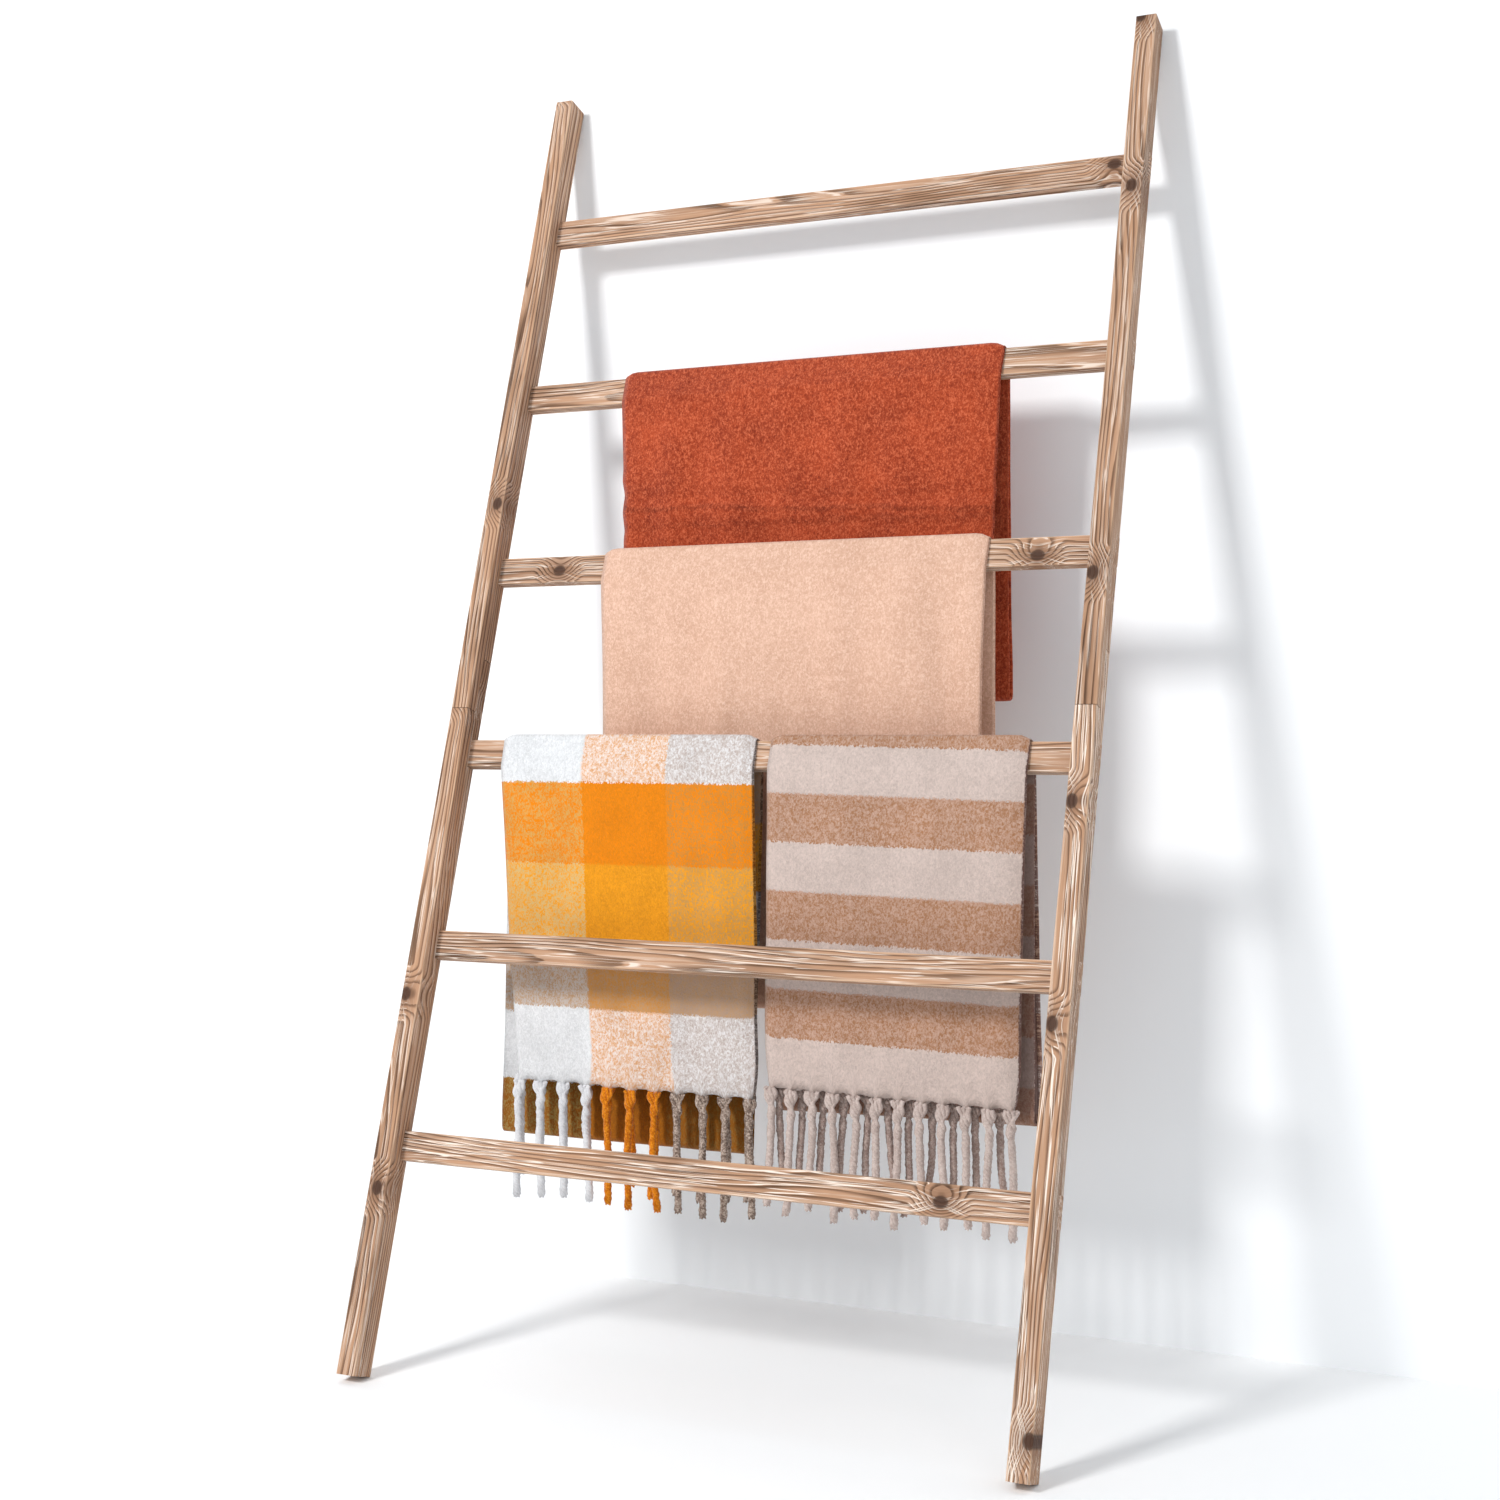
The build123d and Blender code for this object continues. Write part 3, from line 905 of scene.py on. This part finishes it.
def crossed(tree, place, fleck, warp, warp_repeat, weft, weft_repeat, mirrored):
    """Warp columns crossed by weft bands, mixed in flecks."""
    apart = put(tree, "ShaderNodeSeparateXYZ", {0: place}).outputs
    across = sums(tree, "MODULO", ragged(tree, apart[0], fleck, RAGGED_EDGE), warp_repeat)
    along = ragged(tree, apart[1], fleck, RAGGED_EDGE)
    along = sums(tree, "PINGPONG" if mirrored else "MODULO", along, weft_repeat)
    warp_stops = [(start / warp_repeat, colour, cover) for start, colour, cover in warp]
    weft_stops = [(start / weft_repeat, colour, cover) for start, colour, cover, tint in weft]
    tint_stops = [(start / weft_repeat, tint, 1.0) for start, colour, cover, tint in weft]
    along = sums(tree, "DIVIDE", along, weft_repeat)
    warp_colour, warp_take = bands(tree, sums(tree, "DIVIDE", across, warp_repeat), warp_stops)
    weft_colour, weft_cover = bands(tree, along, weft_stops)
    warp_colour = blend_colour(tree, 1.0, warp_colour, bands(tree, along, tint_stops)[0], "MULTIPLY")
    share = sums(tree, "MULTIPLY", warp_take, weft_cover)
    spread = sums(tree, "MULTIPLY", sums(tree, "SUBTRACT", fleck, 0.5), FLECK_SPREAD)
    spread = sums(tree, "MULTIPLY", spread, warp_take)
    return blend_colour(tree, sums(tree, "ADD", share, spread, clamp=True), warp_colour, weft_colour)


def shaded(tree, colour, mottle, deep=0.75):
    """Darken a colour a little between the clumps."""
    tone = sums(tree, "MULTIPLY_ADD", mottle, 1.06 - deep, deep)
    return put(tree, "ShaderNodeVectorMath", {0: colour, "Scale": tone}, operation="SCALE").outputs[0]


def plaid_colour(tree, place, mottle, fleck):
    """The plaid's checks, shaded by its clumps."""
    warp = [(column * COLUMN, colour, cover) for column, colour, cover in WARP]
    colour = crossed(tree, place, fleck, warp, COLUMN * len(WARP), WEFT, PLAID_FLAT[1] / 2, True)
    return shaded(tree, colour, mottle)


plaid_wool = wool_finish("plaid_wool", 9.0, plaid_colour)
print("plaid wool:", len(WARP), "warp columns,", len(WEFT), "weft bands")

# %% Striped wool
CREAM = yarn(203, 184, 175)
TAN = yarn(172, 120, 83)
# mauve brown: a mauve hue, darkened as painted shade of the inner plies and the hidden half
MAUVE_IN_SHADE = yarn(128, 98, 90)
STRIPE = 0.0618
striped_low, striped_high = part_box("striped_throw")
STRIPED_WIDTH = striped_high[0] - striped_low[0]
STRIPED_LENGTH = cloths["striped_cloth"][1][1]
# the folded-in plies at the side take mauve brown painted shade
SIDE_WARP = [(0.0, CREAM, 0.75), (STRIPED_WIDTH + 0.004, MAUVE_IN_SHADE, 0.12),
             (STRIPED_WIDTH + 0.11, CREAM, 0.75)]
STRIPES = [(0.0, CREAM, 1.0, CLEAR_TINT), (STRIPE, TAN, 1.0, CLEAR_TINT)]


def striped_colour(tree, place, mottle, fleck):
    """Cream and tan bands; the half of the throw that hangs out of sight is mauve brown, partly painted
    shade.
    """
    fleck = sums(tree, "SUBTRACT", 1.0, fleck)
    colour = crossed(tree, place, fleck, SIDE_WARP, 2 * STRIPED_WIDTH, STRIPES, 2 * STRIPE, False)
    along = put(tree, "ShaderNodeSeparateXYZ", {0: place}).outputs[1]
    # painted shade over the hidden half
    hidden_half_shade = remap(tree, along, STRIPED_LENGTH / 2 - 0.01, STRIPED_LENGTH / 2 + 0.02, 0.0, 0.62)
    colour = blend_colour(tree, hidden_half_shade, colour, MAUVE_IN_SHADE)
    return shaded(tree, colour, mottle)


striped_wool = wool_finish("striped_wool", 13.0, striped_colour)
WOOLS = {"rust_cloth": rust_wool, "peach_cloth": peach_wool, "plaid_cloth": plaid_wool,
         "striped_cloth": striped_wool}
for name, (piece, flat) in cloths.items():
    piece.data.materials.append(WOOLS[name])
print("wool on", len(cloths), "throws")

# %% [markdown]
# ## Fringe
#
# The two cut ends of the plaid and the striped throw are both at the front, and each has a row of
# tassels: bundles of warp yarn, gathered at the hem and twisted into a soft rope.
# A curve with round thickness follows each yarn of the twist, and one piece holds each colour.

# %% One tassel
ROPE_PLIES = 4
PLY_RADIUS = 0.0030
TWIST_RADIUS = 0.0029
TWIST_PITCH = 0.022
TASSEL_STEP = 0.0032
GATHERED_TOP = 0.022
FRAYED_TIP = 0.018


def add_tassel(curve, top, length, spread, drift):
    """Twist three yarns below a point on the hem; drift is how far the tip strays."""
    count = round(length / TASSEL_STEP)
    start_turn = noise.random() * 2 * math.pi
    waver = noise.random() * 50
    for ply in range(ROPE_PLIES):
        spline = curve.splines.new("NURBS")
        spline.points.add(count)
        for i in range(count + 1):
            drop = length * i / count
            turn = start_turn + 2 * math.pi * (drop / TWIST_PITCH + ply / ROPE_PLIES)
            gather = math.exp(-((drop / GATHERED_TOP) ** 1.5))
            fray = 1 + 0.5 * max(0.0, drop - length + FRAYED_TIP) / FRAYED_TIP
            slack = 0.85 + 0.3 * noise.noise((waver, drop * 60, ply))
            radius = TWIST_RADIUS * fray * (1 - 0.25 * gather) * slack
            share = drop / length
            bend_x = 0.0045 * noise.noise((waver, drop * 13, 3.0)) * min(1, drop / 0.02)
            bend_y = 0.0035 * noise.noise((waver, drop * 13, 9.0)) * min(1, drop / 0.02)
            x = top[0] + bend_x + drift[0] * share ** 2 + radius * math.cos(turn)
            x += spread * (ply - (ROPE_PLIES - 1) / 2) * gather
            y = top[1] + bend_y + drift[1] * share ** 2 + radius * math.sin(turn)
            spline.points[i].co = (x, y, top[2] - drop, 1)
            tip = min(1.0, (length - drop) / 0.006 + 0.35)
            lump = 0.92 + 0.3 * noise.noise((waver + ply * 5, drop * 110, 1.0))
            spline.points[i].radius = tip * lump
        spline.order_u = 3
        spline.use_endpoint_u = True


print("a tassel has", ROPE_PLIES, "plies of", round(PLY_RADIUS * 2000, 1), "mm")

# %% Yarn finishes


def yarn_finish(name, deep, bright, fleck_colour, fleck_share):
    """Twisted yarn: two tones with flecks of a third."""
    colour = one_colour(deep, bright, fleck_colour, fleck_share, 2.0)
    return wool_finish(name, 0.0, colour, pile=0.0016, strength=0.7, read="Object")


YARN_COLOURS = {
    "white_yarn": (yarn(204, 204, 207), yarn(228, 228, 230), WHITE, 0.3),
    "mustard_yarn": (yarn(176, 92, 3), yarn(228, 130, 5), yarn(244, 172, 50), 0.4),
    "taupe_yarn": (yarn(92, 74, 64), yarn(146, 124, 110), yarn(216, 198, 184), 0.7),
    "cream_yarn": (yarn(176, 157, 149), yarn(204, 187, 179), yarn(224, 210, 203), 0.3),
    # the striped throw's rear tassels: mauve, darkened as painted shade
    "mauve_shade_yarn": (yarn(146, 122, 114), yarn(184, 162, 152), yarn(210, 194, 186), 0.5),
}
YARNS = {name: yarn_finish(name, *colours) for name, colours in YARN_COLOURS.items()}
print("yarns:", list(YARNS))

# %% Hang the fringes
TOP_SPREAD = 0.0044
INSIDE_HEM = 0.012


def fringe(name, body, material, tassels, plump=1.0):
    """One piece holding some tassels; each is top, length, spread and drift."""
    curve = bpy.data.curves.new(name, "CURVE")
    curve.dimensions = "3D"
    curve.bevel_depth = PLY_RADIUS * plump
    curve.bevel_resolution = 1
    curve.resolution_u = 1
    curve.use_fill_caps = True
    for top, length, spread, drift in tassels:
        add_tassel(curve, top, length, spread, drift)
    rope = bpy.data.objects.new(name, curve)
    mesh = bpy.data.meshes.new_from_object(rope)
    bpy.data.objects.remove(rope)
    mesh.name = name
    mesh.materials.clear()
    mesh.materials.append(material)
    for polygon in mesh.polygons:
        polygon.use_smooth = True
    piece = bpy.data.objects.new(name, mesh)
    scene.collection.objects.link(piece)
    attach(piece, body)
    return piece


def hem_points(look, behind, shift):
    """Where each tassel starts: the hem's own place there, a little inside the cloth."""
    first, last = look["left"] + TASSEL_INSET, look["right"] - TASSEL_INSET
    pitch = (last - first) / (look["tassels"] - 1)
    path, crest = path_over(look["rung"], look["front_hang"], look["back_hang"])
    half = PAD_THICK / 2
    depth = half / look["plies"] / 2
    places = []
    for i in range(look["tassels"]):
        x = first + i * pitch
        spot = folded_place(look, (x, depth, 0.0), (path[0], not behind, 0.0), crest, half)
        places.append((spot[0] + shift * pitch, spot[1], spot[2] + INSIDE_HEM))
    return places


def hanging(places, low_length, high_length, strays):
    """Lengths, spreads and drifts for a row of tassels."""
    rows = []
    for place in places:
        length = low_length + (high_length - low_length) * noise.random()
        drift = ((noise.random() - 0.5) * strays, (noise.random() - 0.5) * 0.006)
        rows.append((place, length, TOP_SPREAD, drift))
    return rows


noise.seed_set(77)
fringes = {"plaid_cloth": [], "striped_cloth": []}
plaid_look, striped_look = THROWS["plaid_cloth"], THROWS["striped_cloth"]
front_row = hanging(hem_points(plaid_look, False, 0.0), 0.150, 0.160, 0.012)
rear_row = hanging(hem_points(plaid_look, True, -0.16), 0.135, 0.150, 0.010)
PLAID_YARNS = {"white": (0, 4), "mustard": (4, 7), "taupe": (7, 11)}
for colour, (first, stop) in PLAID_YARNS.items():
    piece = fringe(f"plaid_fringe_{colour}", "plaid", YARNS[f"{colour}_yarn"],
                   front_row[first:stop] + rear_row[first:stop], 1.12 if colour == "white" else 1.0)
    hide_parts(*(f"plaid_tassel_{i + 1}" for i in range(first, stop)))
    fringes["plaid_cloth"].append(piece)
front_row = hanging(hem_points(striped_look, False, 0.0), 0.148, 0.162, 0.014)
rear_row = hanging(hem_points(striped_look, True, 0.36), 0.138, 0.156, 0.024)[:-1]
piece = fringe("striped_fringe", "striped", YARNS["cream_yarn"], front_row, 1.12)
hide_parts(*(f"striped_tassel_{i}" for i in range(1, 13)))
fringes["striped_cloth"].append(piece)
# the rear row takes the yarn darkened as painted shade
piece = fringe("striped_fringe_rear", "striped", YARNS["mauve_shade_yarn"], rear_row)
fringes["striped_cloth"].append(piece)
print("fringes:", [piece.name for group in fringes.values() for piece in group])
